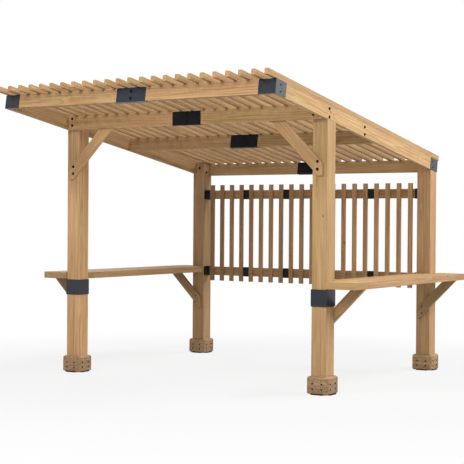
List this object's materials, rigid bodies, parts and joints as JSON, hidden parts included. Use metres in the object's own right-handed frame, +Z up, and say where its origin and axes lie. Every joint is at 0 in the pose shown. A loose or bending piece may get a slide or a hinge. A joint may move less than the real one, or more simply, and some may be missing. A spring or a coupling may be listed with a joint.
{
  "type": "pergola with side counters",
  "caption": "Timber lean-to pergola with a slatted sloping roof, a bar counter along each side and a slatted rear screen.",
  "frame": {"origin": "on the ground, in the middle of the object's plan", "axes": "+X to the right across the open front, +Y to the slatted back, +Z up"},
  "size_m": [3.3324, 3.2624, 2.6018],
  "materials": {
    "cedar": "stained, matt",
    "black_steel": "powder coated, satin"
  },
  "bodies": {
    "root": {"back_beam": "cedar", "back_beam_splice": "black_steel", "back_foot_plates": "black_steel", "back_left_base_skirt": "cedar", "back_left_corner_bracket": "black_steel", "back_left_counter_brace": "cedar", "back_left_post": "cedar", "back_right_base_skirt": "cedar", "back_right_corner_bracket": "black_steel", "back_right_counter_brace": "cedar", "back_right_post": "cedar", "fascia_splice": "black_steel", "front_beam": "cedar", "front_beam_splice": "black_steel", "front_fascia": "cedar", "front_foot_plates": "black_steel", "front_left_base_skirt": "cedar", "front_left_corner_bracket": "black_steel", "front_left_counter_brace": "cedar", "front_left_lower_post": "cedar", "front_left_upper_post": "cedar", "front_right_base_skirt": "cedar", "front_right_corner_bracket": "black_steel", "front_right_counter_brace": "cedar", "front_right_lower_post": "cedar", "front_right_upper_post": "cedar", "left_counter_boards": "cedar", "left_counter_ends": "cedar", "left_knee_brace": "cedar", "left_post_collar": "black_steel", "left_rafter": "cedar", "lower_wall_rail": "cedar", "middle_beam": "cedar", "middle_beam_splice": "black_steel", "rail_sleeves": "black_steel", "rail_sockets": "black_steel", "right_counter_boards": "cedar", "right_counter_ends": "cedar", "right_knee_brace": "cedar", "right_post_collar": "black_steel", "right_rafter": "cedar", "roof_slats": "cedar", "upper_wall_rail": "cedar", "wall_slats": "cedar"}
  },
  "joints": []
}
